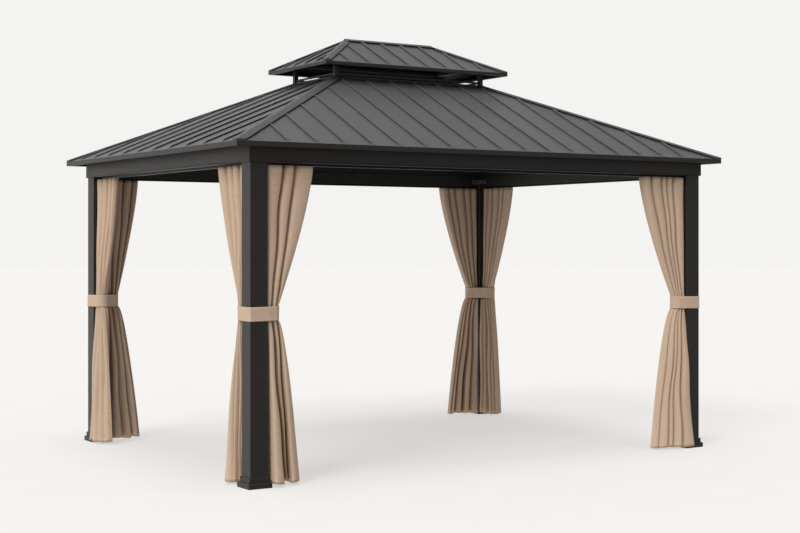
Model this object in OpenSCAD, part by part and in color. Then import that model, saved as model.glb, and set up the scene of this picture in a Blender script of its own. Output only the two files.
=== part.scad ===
// Metal gazebo: four square posts, a ring of beams, a double hipped roof with
// standing seams, and eight tied-back curtains. Millimetres, +Z up, front is -Y.
// The origin is the centre of the plan at ground level.

/* [Overall] */
// Length over the outsides of the posts
frame_l = 3660; // [3000:10:4600]
// Width over the outsides of the posts
frame_w = 2740; // [2200:10:3600]
// Height from the ground to the underside of the beams
beam_z = 1985; // [1700:5:2500]
// How far the eaves reach past the posts at the ends
eave_out_x = 135; // [60:5:300]
// How far they reach past the posts at the front and back
eave_out_y = 90; // [60:5:300]

/* [Posts] */
// Width of a square post
post_w = 120; // [80:1:160]
// Wall of a post
post_wall = 2; // [1.2:0.1:5]
// Radius of the corners of a post
post_r = 5; // [3:0.5:12]
// Width of the foot plate
foot_w = 152; // [146:1:220]
// Thickness of the foot plate
foot_t = 6; // [4:1:12]
// Distance between the anchor holes
foot_pitch = 134; // [133:1:200]
// Radius of an anchor hole
foot_hole_r = 5; // [3:0.5:6]

/* [Base covers] */
// Width of the lower step of a base cover past each face of the post
cover_low_out = 20; // [19:1:50]
// Height of the lower step
cover_low_h = 34; // [20:1:80]
// Width of the upper step past each face of the post
cover_top_out = 8; // [5:0.5:15]
// Height of the whole cover
cover_h = 66; // [50:1:150]
// Bevel on the edges of the steps
cover_bevel = 4; // [1:0.5:6]
// Wall of a cover
cover_t = 2; // [1:0.5:3]

/* [Beams] */
// Height of a beam
beam_h = 130; // [110:1:200]
// Depth of a beam
beam_d = 100; // [80:1:110]
// Wall of a beam
beam_wall = 3; // [2:0.5:5]
// How far the beams stand proud of the posts
beam_proud = 10; // [4:1:20]
// Size of the bead along the bottom of a beam
bead = 4; // [2:0.5:6]
// Height of the ledge on the inner face above the underside
ledge_z = 88; // [60:1:100]
// Depth of that ledge
ledge_d = 8; // [4:1:10]
// Depth of the sleeve that each corner casting drops into its post
sleeve_h = 80; // [40:5:150]
// Width of a curtain track
track_w = 28; // [20:1:40]
// Height of a curtain track
track_h = 15; // [10:1:30]

/* [Lower roof] */
// Height of the roof sheet above the underside of the beams at the eaves
eave_up = 120; // [100:5:200]
// Rise of the lower roof from the eaves to the vent
low_rise = 555; // [450:5:700]
// Thickness of a roof sheet with its lining
sheet_t = 3; // [1:0.5:6]
// Height of the trim along the eaves
trim_h = 30; // [25:1:40]
// Depth of the trim
trim_d = 25; // [15:1:40]
// Thickness of the trim
trim_t = 2.5; // [1:0.5:4]
// Width of a standing seam
seam_w = 22; // [12:1:30]
// Height of a standing seam
seam_h = 10; // [6:1:20]
// Length of the sloped end that a seam has at the eaves
seam_slope = 36; // [10:1:80]
// Distance between seams on the front and back
seam_pitch_long = 201; // [150:1:300]
// Distance between seams on the sides
seam_pitch_side = 270; // [200:1:350]
// Width of one leg of a cap on a hip
cap_leg = 42; // [30:1:60]
// Thickness of the sheet of a cap
cap_t = 2; // [1:0.5:3]

/* [Vent] */
// Length of the vent box
vent_l = 1275; // [900:5:1600]
// Width of the vent box
vent_w = 630; // [450:5:900]
// Thickness of the boards of the vent box
curb_t = 30; // [20:1:50]
// Height of the boards above the lower roof
curb_up = 14; // [12:1:60]
// Height of the boards below the top of the lower roof
curb_down = 60; // [60:1:90]
// Width of the lip along the top of the boards
curb_lip = 5; // [3:1:8]
// Height of the open gap between the boards and the bars above them
bar_gap = 12; // [6:1:30]
// Height of a bar
bar_h = 12; // [6:1:20]
// Depth of a bar
bar_d = 14; // [8:1:28]
// Thickness of the rails below the upper roof
vent_rail_h = 22; // [15:1:30]
// Width of a short post of the vent
vent_post_w = 30; // [20:1:40]

/* [Upper roof] */
// Height of the upper eaves above the top of the lower roof
upper_up = 101; // [95:1:140]
// How far the upper eaves reach past the ends of the vent box
upper_out_l = 142; // [100:1:200]
// How far they reach past its long sides
upper_out_w = 119; // [80:1:180]
// Rise of the upper roof from its eaves to the ridge
upper_rise = 214; // [150:1:300]
// Length of the ridge
ridge_l = 714; // [500:1:900]
// Height of the trim along the upper eaves
upper_trim_h = 21; // [16:1:30]
// Distance between the seams of the upper roof
upper_pitch = 165; // [120:1:220]
// Width of one leg of an upper cap
upper_cap_leg = 32; // [25:1:45]

/* [Rafters] */
// Width of a hip rafter
hip_w = 40; // [30:1:60]
// Depth of a hip rafter
hip_d = 60; // [50:1:90]
// Width of a common rafter
rafter_w = 30; // [20:1:50]
// Depth of a common rafter
rafter_d = 42; // [40:1:70]
// Distance of the common rafters from the middle of the long sides
rafter_x = 450; // [300:10:550]

/* [Curtains] */
// Width of a gathered curtain at the top
curtain_top_w = 365; // [250:5:450]
// Thickness of a gathered curtain at the top
curtain_top_d = 80; // [60:1:90]
// Width of a curtain inside its tie band
curtain_tie_w = 94; // [70:1:120]
// Thickness of a curtain inside its tie band
curtain_tie_d = 88; // [60:1:96]
// Width of a hem on the front or back
hem_long_w = 258; // [180:2:340]
// Width of a hem on a short side
hem_short_w = 150; // [120:2:240]
// Thickness of a hem
hem_d = 210; // [150:5:240]
// How far a hem stands proud of the outer face of the post
hem_out = 48; // [30:1:80]
// Gap between a hem and the ground
hem_gap = 18; // [10:1:60]
// Height of the middle of the tie bands
tie_z = 1060; // [800:5:1300]
// Height of a tie band
tie_h = 88; // [60:1:140]
// Thickness of a tie band
tie_t = 4; // [3:0.5:6]

/* [Hidden] */
// Gap between pieces that rest on or fit in each other
clear = 0.3;
// Overlap that makes a clean cut
cut = 1;

half_l = frame_l / 2;
half_w = frame_w / 2;
eave_x = half_l + eave_out_x;
eave_y = half_w + eave_out_y;
eave_z = beam_z + eave_up;
vent_x = vent_l / 2;
vent_y = vent_w / 2;
low_top_z = eave_z + low_rise;
beam_top = beam_z + beam_h;
curb_top = low_top_z + curb_up;
upper_x = vent_x + upper_out_l;
upper_y = vent_y + upper_out_w;
upper_z = low_top_z + upper_up;
ridge_x = ridge_l / 2;
ridge_z = upper_z + upper_rise;
foot_out = (foot_w - post_w) / 2;
cap_h = seam_h + cap_t;
ridge_over = 20;
// Distance of the middle of a track, and of the curtains, from the outer face of a post
track_mid = curtain_top_d / 2 + 14;
// Steps in each half of a curtain
curtain_steps = 4;
// Share of a gathered curtain's thickness that its corners are cut by
tie_round = 0.3;
// How the sides of a curtain curve above and below its tie
upper_curve = 1.3;
lower_curve = 0.7;
// Shares of a hem's width and depth at which its outline turns
hem_nose = 0.45;
hem_heel = 0.75;
hem_round = 0.35;

// Corners as [name, mirrored in X, mirrored in Y]
CORNERS = [
    ["front_left", 0, 0],
    ["front_right", 1, 0],
    ["back_left", 0, 1],
    ["back_right", 1, 1],
];
// Sides as [name, quarter turns from the front]
SIDES = [["front", 0], ["right", 1], ["back", 2], ["left", 3]];
// How the curtains of each corner hang, by hand: by how much the long one is wider than the
// rest at its track and at its hem, the same for the short one, and how far the hem of the
// long one laps over the outer face of the post
HANGS = [
    [-28, -14, 30, 120, 0],
    [20, 42, 0, 0, 48],
    [-110, 0, 0, 70, 0],
    [0, 50, 0, 75, 0],
];

// ---------------------------------------------------------------- placing

// Places what is drawn for the front left corner at another corner
module at_corner(c) {
    mirror([c[1], 0, 0]) mirror([0, c[2], 0]) children();
}

// Places what is drawn for a front side at another side
module at_side(s) {
    rotate([0, 0, 90 * s[1]]) children();
}

// Draws for all four corners
module all_corners() {
    for (c = CORNERS) at_corner(c) children();
}

// The outer corner of the front left post is the origin of what is drawn here
module from_corner() {
    translate([-half_l, -half_w, 0]) children();
}

// Is a side one of the two short ones?
function is_short(s) = s[1] % 2 == 1;

// A profile in Y and Z, extruded along X from x0 to x1
module along_x(x0, x1) {
    translate([x0, 0, 0]) rotate([90, 0, 90]) linear_extrude(x1 - x0) children();
}

// ------------------------------------------------------------------ posts

// A square outline with round corners, from the origin
module rounded_square(w, r) {
    translate([r, 0]) square([w - 2 * r, w]);
    translate([0, r]) square([w, w - 2 * r]);
    for (x = [r, w - r], y = [r, w - r]) translate([x, y]) circle(r = r, $fn = 32);
}

module post() {
    color("#33363a") difference() {
        union() {
            translate([-foot_out, -foot_out, 0]) cube([foot_w, foot_w, foot_t]);
            linear_extrude(beam_z) rounded_square(post_w, post_r);
        }
        translate([post_wall, post_wall, foot_t]) linear_extrude(beam_z)
            rounded_square(post_w - 2 * post_wall, post_r - post_wall);
        for (sx = [-1, 1], sy = [-1, 1])
            translate([(post_w + sx * foot_pitch) / 2, (post_w + sy * foot_pitch) / 2, -cut])
                cylinder(r = foot_hole_r, h = foot_t + 2 * cut, $fn = 32);
    }
}

// Half outline of a base cover: two steps with bevelled edges
module cover_outline() {
    low = post_w + 2 * cover_low_out;
    top = post_w + 2 * cover_top_out;
    b = cover_bevel;
    polygon([
        [-low / 2, 0], [-low / 2, cover_low_h - b], [-low / 2 + b, cover_low_h],
        [-top / 2, cover_low_h], [-top / 2, cover_h - b], [-top / 2 + b, cover_h],
        [top / 2 - b, cover_h], [top / 2, cover_h - b], [top / 2, cover_low_h],
        [low / 2 - b, cover_low_h], [low / 2, cover_low_h - b], [low / 2, 0],
    ]);
}

// A cube that is centred in plan
module centred_box(w, z0, z1) {
    translate([-w / 2, -w / 2, z0]) cube([w, w, z1 - z0]);
}

module base_cover() {
    low_in = post_w + 2 * (cover_low_out - cover_t);
    top_in = post_w + 2 * (cover_top_out - cover_t);
    translate([post_w / 2, post_w / 2, 0]) difference() {
        intersection() {
            rotate([90, 0, 0]) translate([0, 0, -foot_w]) linear_extrude(2 * foot_w) cover_outline();
            rotate([90, 0, 90]) translate([0, 0, -foot_w]) linear_extrude(2 * foot_w) cover_outline();
        }
        centred_box(low_in, -cut, cover_low_h - cover_t - cover_bevel / 2);
        centred_box(top_in, -cut, cover_h - cover_t - cover_bevel / 2);
        centred_box(post_w + 2 * clear, -cut, cover_h + cut);
    }
}

// ------------------------------------------------------------------ beams

module corner_casting() {
    block = post_w + beam_proud;
    sleeve_w = post_w - 2 * post_wall - 2 * clear;
    sleeve_at = post_wall + clear;
    wall = 2 * post_wall;
    color("#2b2e32") difference() {
        union() {
            translate([-beam_proud, -beam_proud, beam_z]) cube([block, block, beam_h]);
            translate([sleeve_at, sleeve_at, beam_z - sleeve_h]) linear_extrude(sleeve_h + cut)
                rounded_square(sleeve_w, post_r - post_wall);
        }
        translate([sleeve_at + wall, sleeve_at + wall, beam_z - sleeve_h - cut])
            cube([sleeve_w - 2 * wall, sleeve_w - 2 * wall, sleeve_h + beam_h - wall]);
    }
}

// Section of a beam: Y is measured inwards from the outer face of the posts
module beam_section() {
    y0 = -beam_proud;
    y1 = beam_d - beam_proud;
    z0 = beam_z;
    difference() {
        polygon([
            [y0, z0], [y1, z0], [y1, z0 + ledge_z - ledge_d], [y1 + ledge_d, z0 + ledge_z - ledge_d],
            [y1 + ledge_d, z0 + ledge_z], [y1, z0 + ledge_z], [y1, z0 + beam_h], [y0, z0 + beam_h],
            [y0, z0 + 2 * bead], [y0 - bead, z0 + 2 * bead - bead / 2], [y0 - bead, z0],
        ]);
        translate([y0 + beam_wall, z0 + beam_wall])
            square([beam_d - 2 * beam_wall, beam_h - 2 * beam_wall]);
    }
}

module beam(s) {
    run = (is_short(s) ? half_w : half_l) - post_w - clear;
    out = is_short(s) ? half_l : half_w;
    color("#3a3d41") at_side(s) translate([0, -out, 0]) along_x(-run, run) beam_section();
}

// A C-shaped track below each beam, open downwards for its gliders
module curtain_track(s) {
    run = (is_short(s) ? half_w : half_l) - post_w - clear;
    out = is_short(s) ? half_l : half_w;
    slot = track_w / 3;
    color("#8a8d90") at_side(s) translate([0, track_mid - out, 0]) along_x(-run, run) difference() {
        translate([-track_w / 2, beam_z - track_h]) square([track_w, track_h]);
        translate([-track_w / 2 + post_wall, beam_z - track_h + post_wall])
            square([track_w - 2 * post_wall, track_h - 2 * post_wall]);
        translate([-slot / 2, beam_z - track_h - cut]) square([slot, track_h / 2]);
    }
}

// ------------------------------------------------------------ roof planes

// A hipped face is given as [half eave, half top, eave distance, top distance, eave z, rise]:
// its eave runs from -half eave to +half eave at -eave distance in Y.
function low_face(s) = is_short(s)
    ? [eave_y, vent_y, eave_x, vent_x, eave_z, low_rise]
    : [eave_x, vent_x, eave_y, vent_y, eave_z, low_rise];
function upper_face(s) = is_short(s)
    ? [upper_y, 0, upper_x, ridge_x, upper_z, upper_rise]
    : [upper_x, ridge_x, upper_y, 0, upper_z, upper_rise];

function face_run(f) = f[2] - f[3];
function face_slope(f) = atan(f[5] / face_run(f));
function face_len(f) = norm([f[5], face_run(f)]);
// Length of the hip in the plane of the face
function hip_len(f) = norm([face_len(f), f[0] - f[1]]);
// Height of the top of the sheet at a distance from the middle of the roof
function face_z(f, dist) = f[4] + f[5] * (f[2] - dist) / face_run(f);
// Height of the underside of the sheet there
function soffit_z(f, dist) = face_z(f, dist) - (sheet_t + clear) / cos(face_slope(f));

// Lays children on a face: X along the eave, Y up the slope, Z outwards
module on_face(f) {
    translate([0, -f[2], f[4]]) rotate([face_slope(f), 0, 0]) children();
}

// The sheet stops short of the trim, the hips and what it meets at the top
module face_sheet(f) {
    y0 = (trim_t + clear) / cos(face_slope(f));
    y1 = face_len(f) - (clear + sheet_t * sin(face_slope(f))) / cos(face_slope(f)) - clear;
    side = sheet_t * hip_len(f) / face_len(f);
    lean = (f[0] - f[1]) / face_len(f);
    x0 = f[0] - lean * y0 - side;
    x1 = max(f[0] - lean * y1 - side, clear);
    translate([0, 0, -sheet_t]) linear_extrude(sheet_t)
        polygon([[-x0, y0], [x0, y0], [x1, y1], [-x1, y1]]);
}

// Where a seam at x stops: at the top, or at the cap over the hip
function seam_end(f, x, leg, top_gap) =
    let (
        lean = (f[0] - f[1]) / face_len(f),
        hip_y = (f[0] - abs(x) - seam_w / 2) / lean,
        back = (leg + clear) * hip_len(f) / (f[0] - f[1])
    )
    min(face_len(f) - top_gap, hip_y - back);

// Seams stand at the given places along the eave, where they slope down to the sheet
module face_seams(f, places, leg, top_gap) {
    start = trim_d / 2;
    for (x = places)
        let (end = seam_end(f, x, leg, top_gap))
            along_x(x - seam_w / 2, x + seam_w / 2)
                polygon([[start, -sheet_t / 2], [end, -sheet_t / 2], [end, seam_h],
                    [start + seam_slope, seam_h], [start, 0]]);
}

// Places at a pitch each side of the middle, on the middle or astride it
function spaced(count, pitch) = [for (i = [0 : count - 1]) (i - (count - 1) / 2) * pitch];
// How many fit on an eave, odd or even
function seam_count(half, pitch, odd) =
    let (n = floor((half - 2 * cap_leg) / pitch - (odd ? 0 : 0.5)))
    odd ? 2 * n + 1 : 2 * (n + 1);

module roof_panel(s) {
    f = low_face(s);
    pitch = is_short(s) ? seam_pitch_side : seam_pitch_long;
    count = seam_count(f[0] - pitch / 2, pitch, !is_short(s));
    color("#77797b") at_side(s) on_face(f) {
        face_sheet(f);
        face_seams(f, spaced(count, pitch), cap_leg, curb_lip + seam_h);
    }
}

module upper_panel(s) {
    f = upper_face(s);
    count = seam_count(f[0] - upper_pitch / 2, upper_pitch, false);
    color("#77797b") at_side(s) on_face(f) {
        face_sheet(f);
        face_seams(f, spaced(count, upper_pitch), upper_cap_leg, upper_cap_leg + clear);
    }
}

// ------------------------------------------------------------------- caps

// The level direction across a line h, and the one that points up at right angles to both
function across(h) = [-h[1], h[0], 0] / norm([h[0], h[1]]);
function up_of(h) = cross(h, across(h));
// How far a face with the normal n falls away beside a line h, seen along it
function lean_of(h, n) = atan2(abs(n * across(h)), n * up_of(h));

// A point beside a line whose face falls away by a degrees: s down the face and c above it
function leg_point(a, s, c, side) = [
    side * (s * cos(a) + c * sin(a)),
    c * cos(a) - s * sin(a)
];
// The point over the line that is c above both of its faces
function apex(a, b, c) =
    let (v = c / (cos(a) - sin(a) * (cos(a) - cos(b)) / (sin(a) + sin(b))))
    [(cos(a) - cos(b)) * v / (sin(a) + sin(b)), v];

// Section of a folded cap over a line whose faces fall away by a and b degrees
module cap_section(a, b, leg) {
    low = cap_h - cap_t;
    polygon([
        leg_point(a, leg, clear, -1), leg_point(a, leg, cap_h, -1), apex(a, b, cap_h),
        leg_point(b, leg, cap_h, 1), leg_point(b, leg, clear, 1),
        leg_point(b, leg - cap_t, clear, 1), leg_point(b, leg - cap_t, low, 1), apex(a, b, low),
        leg_point(a, leg - cap_t, low, -1), leg_point(a, leg - cap_t, clear, -1),
    ]);
}

// The same section without its hollow, for the closed end of a cap
module cap_end_section(a, b, leg) {
    polygon([
        leg_point(a, leg, clear, -1), leg_point(a, leg, cap_h, -1), apex(a, b, cap_h),
        leg_point(b, leg, cap_h, 1), leg_point(b, leg, clear, 1), apex(a, b, clear),
    ]);
}

// Extrudes children along the line from p, in the direction h, between lengths
module along_line(p, h, from, to) {
    u = across(h);
    v = up_of(h);
    multmatrix([
        [u[0], v[0], h[0], p[0]],
        [u[1], v[1], h[1], p[1]],
        [u[2], v[2], h[2], p[2]],
        [0, 0, 0, 1],
    ])
        translate([0, 0, from]) linear_extrude(to - from) children();
}

// The hip of the front left corner: its foot, its direction and its length
function hip_line(long, short) = [[-long[0], -long[2], long[4]], [-long[1], -long[3], long[4] + long[5]]];
function unit(v) = v / norm(v);
function outward(f) = [0, -sin(face_slope(f)), cos(face_slope(f))];
function turned(n) = [n[1], n[0], n[2]];

module hip_cap(long, short, leg, top_x, top_y) {
    line = hip_line(long, short);
    h = unit(line[1] - line[0]);
    reach = norm(line[1] - line[0]);
    a = lean_of(h, turned(outward(short)));
    b = lean_of(h, outward(long));
    intersection() {
        union() {
            along_line(line[0], h, -reach / 4, reach + reach / 4) cap_section(b, a, leg);
            difference() {
                along_line(line[0], h, -reach / 4, reach / 4) cap_end_section(b, a, leg);
                translate([cap_t - long[0], cap_t - long[2], 0]) cube([long[0], long[2], 2 * ridge_z]);
            }
        }
        difference() {
            translate([-long[0], -long[2], 0]) cube([long[0], long[2], 2 * ridge_z]);
            translate([-top_x, -top_y, 0]) cube([top_x + cut, top_y + cut, 2 * ridge_z]);
        }
    }
}

module lower_hip_cap() {
    hip_cap(low_face(SIDES[0]), low_face(SIDES[3]), cap_leg, vent_x + curb_lip, vent_y + curb_lip);
}

// An upper cap stops where the ridge cap begins and just short of the middle
module upper_hip_cap() {
    far = ridge_x + ridge_over + clear;
    intersection() {
        hip_cap(upper_face(SIDES[0]), upper_face(SIDES[3]), upper_cap_leg, 0, 0);
        translate([-2 * upper_x, -2 * upper_y, 0])
            cube([2 * upper_x - far, 2 * upper_y - clear / 2, 2 * ridge_z]);
    }
}

module ridge_cap() {
    slope = face_slope(upper_face(SIDES[0]));
    color("#6a6c6e")
        along_line([0, 0, ridge_z], [1, 0, 0], -ridge_x - ridge_over, ridge_x + ridge_over)
            cap_section(slope, slope, upper_cap_leg);
}

// ------------------------------------------------------------------- trim

// A trim with mitred ends below the eave of a face
module face_trim(f, height) {
    m = clear / 2;
    z = f[4];
    intersection() {
        translate([0, -f[2], 0]) along_x(-f[0], f[0])
            polygon([[0, z], [0, z - height], [trim_d, z - height], [trim_d, z - height + trim_t],
                [trim_t, z - height + trim_t], [trim_t, z]]);
        translate([0, 0, z - 2 * height]) linear_extrude(3 * height)
            polygon([[-f[0] + m, -f[2]], [f[0] - m, -f[2]],
                [f[0] - m - 2 * trim_d, -f[2] + 2 * trim_d], [-f[0] + m + 2 * trim_d, -f[2] + 2 * trim_d]]);
    }
}

// ------------------------------------------------------------------- vent

// Four boards round a rectangle: the long ones run through at the corners
module ring_board(s, section_t, z0, z1) {
    out = is_short(s) ? vent_x : vent_y;
    run = is_short(s) ? vent_y - section_t - clear : vent_x;
    at_side(s) translate([-run, -out, z0]) cube([2 * run, section_t, z1 - z0]);
}

module vent_board(s) {
    lip_h = 2 * curb_lip;
    ring_board(s, curb_t, low_top_z - curb_down, curb_top);
    out = is_short(s) ? vent_x : vent_y;
    run = is_short(s) ? vent_y - curb_t - clear : vent_x;
    at_side(s) translate([-run, -out - curb_lip, curb_top - lip_h])
        cube([2 * run, curb_lip + cut, lip_h]);
}

// The rails reach up to the underside of the upper roof
function rail_z0() = soffit_z(upper_face(SIDES[0]), vent_y) - vent_rail_h;

module vent_rail(s) {
    out = is_short(s) ? vent_x : vent_y;
    ring_board(s, vent_post_w, rail_z0(), soffit_z(upper_face(s), out));
}

module vent_post() {
    translate([-vent_x, -vent_y, curb_top]) cube([vent_post_w, vent_post_w, rail_z0() - curb_top]);
}

// A bar runs between two posts above each board
module vent_bar(s) {
    out = is_short(s) ? vent_x : vent_y;
    run = (is_short(s) ? vent_y : vent_x) - vent_post_w - clear;
    at_side(s) translate([-run, -out + (vent_post_w - bar_d) / 2, curb_top + bar_gap])
        cube([2 * run, bar_d, bar_h]);
}

// ---------------------------------------------------------------- rafters

// What rafters may fill: outside the vent box and above the beams and castings
module rafter_space() {
    difference() {
        translate([-half_l - beam_proud, -half_w - beam_proud, beam_top + clear])
            cube([frame_l + 2 * beam_proud, frame_w + 2 * beam_proud, low_rise]);
        translate([-vent_x - clear, -vent_y - clear, 0])
            cube([vent_l + 2 * clear, vent_w + 2 * clear, 2 * ridge_z]);
    }
}

// A hip rafter's top edges touch the sheets, which fall away on both sides
module hip_rafter() {
    long = low_face(SIDES[0]);
    short = low_face(SIDES[3]);
    line = hip_line(long, short);
    h = unit(line[1] - line[0]);
    a = lean_of(h, turned(outward(short)));
    b = lean_of(h, outward(long));
    top = -(sheet_t + clear) / cos(max(a, b)) - hip_w / 2 * tan(max(a, b));
    color("#26292c") intersection() {
        along_line(line[0], h, 0, norm(line[1] - line[0]))
            translate([-hip_w / 2, top - hip_d]) square([hip_w, hip_d]);
        rafter_space();
    }
}

module common_rafter(s, x) {
    f = low_face(s);
    color("#26292c") intersection() {
        at_side(s) on_face(f) translate([x - rafter_w / 2, 0, -sheet_t - clear - rafter_d])
            cube([rafter_w, face_len(f), rafter_d]);
        rafter_space();
    }
}

// --------------------------------------------------------------- curtains

// Outlines of a curtain on the long side of the front left corner: X runs along the
// beam from the outer corner of the post, Y inwards. Each has six corners, in one order.
curtain_x = post_w + clear;
function block_outline(w, d, c) =
    let (y0 = track_mid - d / 2, y1 = track_mid + d / 2, x1 = curtain_x + w)
    [[curtain_x, y0], [x1 - c, y0], [x1, y0 + c], [x1, y1 - c], [x1 - c, y1], [curtain_x, y1]];
function hem_outline(w, lap) =
    let (y0 = -hem_out, y1 = hem_d - hem_out, x1 = curtain_x + w)
    [[curtain_x - lap, y0], [curtain_x + hem_nose * w, y0], [x1, y0 + hem_round * hem_d],
        [x1, y0 + hem_heel * hem_d], [curtain_x + hem_heel * w, y1], [y1 + clear, y1]];
function blend(a, b, t) = [for (i = [0 : len(a) - 1]) a[i] * (1 - t) + b[i] * t];

// A closed solid through outlines that lie above each other, lowest first
module loft(outlines, heights) {
    n = len(outlines[0]);
    last = len(outlines) - 1;
    polyhedron(
        points = [for (j = [0 : last]) for (p = outlines[j]) [p[0], p[1], heights[j]]],
        faces = concat(
            [[for (i = [0 : n - 1]) i]],
            [[for (i = [n - 1 : -1 : 0]) last * n + i]],
            [for (j = [0 : last - 1]) for (i = [0 : n - 1])
                [j * n + i, (j + 1) * n + i, (j + 1) * n + (i + 1) % n]],
            [for (j = [0 : last - 1]) for (i = [0 : n - 1])
                [j * n + i, (j + 1) * n + (i + 1) % n, j * n + (i + 1) % n]]
        )
    );
}

// A curtain gathered at its tie: it narrows from the track and falls open to its hem
module curtain_body(top_w, hem_w, lap) {
    top_z = beam_z - track_h - clear;
    high_z = tie_z + tie_h / 2;
    low_z = tie_z - tie_h / 2;
    top = block_outline(top_w, curtain_top_d, curtain_top_d / 6);
    tie = block_outline(curtain_tie_w, curtain_tie_d, curtain_tie_d * tie_round);
    hem = hem_outline(hem_w, lap);
    down = [for (i = [curtain_steps : -1 : 0]) i / curtain_steps];
    difference() {
        loft(
            concat([for (t = down) blend(tie, hem, pow(t, lower_curve))],
                [for (t = down) blend(top, tie, pow(t, upper_curve))]),
            concat([for (t = down) low_z + (hem_gap - low_z) * t],
                [for (t = down) top_z + (high_z - top_z) * t])
        );
        stay_clear(0, beam_z);
        stay_clear(cover_low_out, cover_low_h);
        stay_clear(cover_top_out, cover_h);
    }
}

// What a curtain leaves free: the post, or a step of its cover that reaches out by more
module stay_clear(more, h) {
    translate([-2 * post_w, -more - clear, -cut])
        cube([3 * post_w + more + clear, post_w + 2 * (more + clear), h + clear + cut]);
}

module curtain_long(i) {
    h = HANGS[i];
    color("#b5a68c") at_corner(CORNERS[i]) from_corner()
        curtain_body(curtain_top_w + h[0], hem_long_w + h[1], h[4]);
}

module curtain_short(i) {
    h = HANGS[i];
    color("#b5a68c") at_corner(CORNERS[i]) from_corner() mirror([1, -1, 0])
        curtain_body(curtain_top_w + h[2], hem_short_w + h[3], 0);
}

// Outline of a tie band grown by g: round the post and both gathered curtains
function half_tie(g) =
    let (far = curtain_x + curtain_tie_w + g, c = curtain_tie_d * tie_round, y0 = track_mid - curtain_tie_d / 2)
    [[post_w + g / 2, -g], [far - c, y0 - g / 2], [far - g / 2, y0 + c - g / 2],
        [far, y0 + c], [far, track_mid + curtain_tie_d / 2 - c]];
function reversed(v) = [for (i = [len(v) - 1 : -1 : 0]) [v[i][1], v[i][0]]];

module tie_outline(g) {
    polygon(concat([[-g, -g]], half_tie(g), reversed(half_tie(g))));
}

module tie_band() {
    color("#b5a68c") from_corner() translate([0, 0, tie_z - tie_h / 2]) linear_extrude(tie_h)
        difference() {
            tie_outline(clear + tie_t);
            tie_outline(clear);
        }
}

// ------------------------------------------------------------------ nodes

for (c = CORNERS) {
    at_corner(c) from_corner() post();
    at_corner(c) from_corner() corner_casting();
    at_corner(c) tie_band();
}
color("#303338") all_corners() from_corner() base_cover();  // base_covers
for (s = SIDES) {
    beam(s);
    roof_panel(s);
    upper_panel(s);
}
for (s = SIDES) curtain_track(s);  // curtain_tracks
all_corners() hip_rafter();  // hip_rafters
union() {  // common_rafters
    for (s = [SIDES[0], SIDES[2]], x = [-rafter_x, rafter_x]) common_rafter(s, x);
    for (s = [SIDES[1], SIDES[3]]) common_rafter(s, 0);
}
color("#6a6c6e") all_corners() lower_hip_cap();  // hip_caps
color("#2c2f33") for (s = SIDES) at_side(s) face_trim(low_face(s), trim_h);  // eave_trim
color("#35383c") for (s = SIDES) vent_board(s);  // vent_box
color("#2c2f33") all_corners() vent_post();  // vent_posts
color("#2c2f33") for (s = SIDES) vent_bar(s);  // vent_bars
color("#2c2f33") for (s = SIDES) vent_rail(s);  // vent_rails
color("#6a6c6e") all_corners() upper_hip_cap();  // upper_hip_caps
ridge_cap();
color("#2c2f33") for (s = SIDES) at_side(s) face_trim(upper_face(s), upper_trim_h);  // upper_eave_trim
for (i = [0 : len(CORNERS) - 1]) {
    curtain_long(i);
    curtain_short(i);
}
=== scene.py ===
"""Looks of a metal gazebo: finishes for its frame, folded curtains, tie bands and fixings."""

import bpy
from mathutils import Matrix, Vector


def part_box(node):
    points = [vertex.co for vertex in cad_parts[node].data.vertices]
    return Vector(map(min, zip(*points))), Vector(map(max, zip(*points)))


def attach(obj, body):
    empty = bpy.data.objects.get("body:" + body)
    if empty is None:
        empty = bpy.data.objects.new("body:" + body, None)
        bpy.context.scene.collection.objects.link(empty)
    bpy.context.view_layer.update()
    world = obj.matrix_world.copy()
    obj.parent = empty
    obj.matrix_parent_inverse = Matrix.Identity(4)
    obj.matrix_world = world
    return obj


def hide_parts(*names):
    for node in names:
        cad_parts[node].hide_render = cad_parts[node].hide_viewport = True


bl_info = {
    "name": "Metal gazebo",
    "version": (1, 0, 0),
    "blender": (4, 5, 0),
    "location": "3D View > Sidebar > Gazebo",
    "description": "Finishes, curtains and fixings of a metal gazebo",
    "category": "Object",
}

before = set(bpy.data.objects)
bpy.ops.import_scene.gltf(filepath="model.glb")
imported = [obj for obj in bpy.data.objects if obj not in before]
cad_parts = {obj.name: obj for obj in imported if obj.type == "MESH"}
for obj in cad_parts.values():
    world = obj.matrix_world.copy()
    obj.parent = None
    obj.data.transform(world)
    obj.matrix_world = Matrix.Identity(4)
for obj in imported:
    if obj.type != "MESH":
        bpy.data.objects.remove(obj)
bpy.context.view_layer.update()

import math

import bmesh
import bpy
import numpy as np
from bpy.props import FloatProperty, FloatVectorProperty, IntProperty, PointerProperty
from mathutils import Matrix, Vector

# Which way each corner lies from the middle of the plan
CORNERS = {
    "front_left": (-1, -1),
    "front_right": (1, -1),
    "back_left": (-1, 1),
    "back_right": (1, 1),
}


def node_box(name):
    """Lowest and highest corner of a node of the frame."""
    low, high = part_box(name)
    return Vector(low), Vector(high)


def linear(hex_colour, alpha=1.0):
    """An sRGB hex colour as the linear values that Blender works in."""
    parts = [int(hex_colour[i : i + 2], 16) / 255 for i in (1, 3, 5)]
    return tuple(
        p / 12.92 if p <= 0.04045 else ((p + 0.055) / 1.055) ** 2.4 for p in parts
    ) + (alpha,)


# ---------------------------------------------------------------- settings


def colour_setting(name, text, hex_colour):
    """A colour that can be changed in the panel."""
    return FloatVectorProperty(
        name=name,
        description=text,
        subtype="COLOR",
        size=4,
        min=0,
        max=1,
        default=linear(hex_colour),
    )


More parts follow.
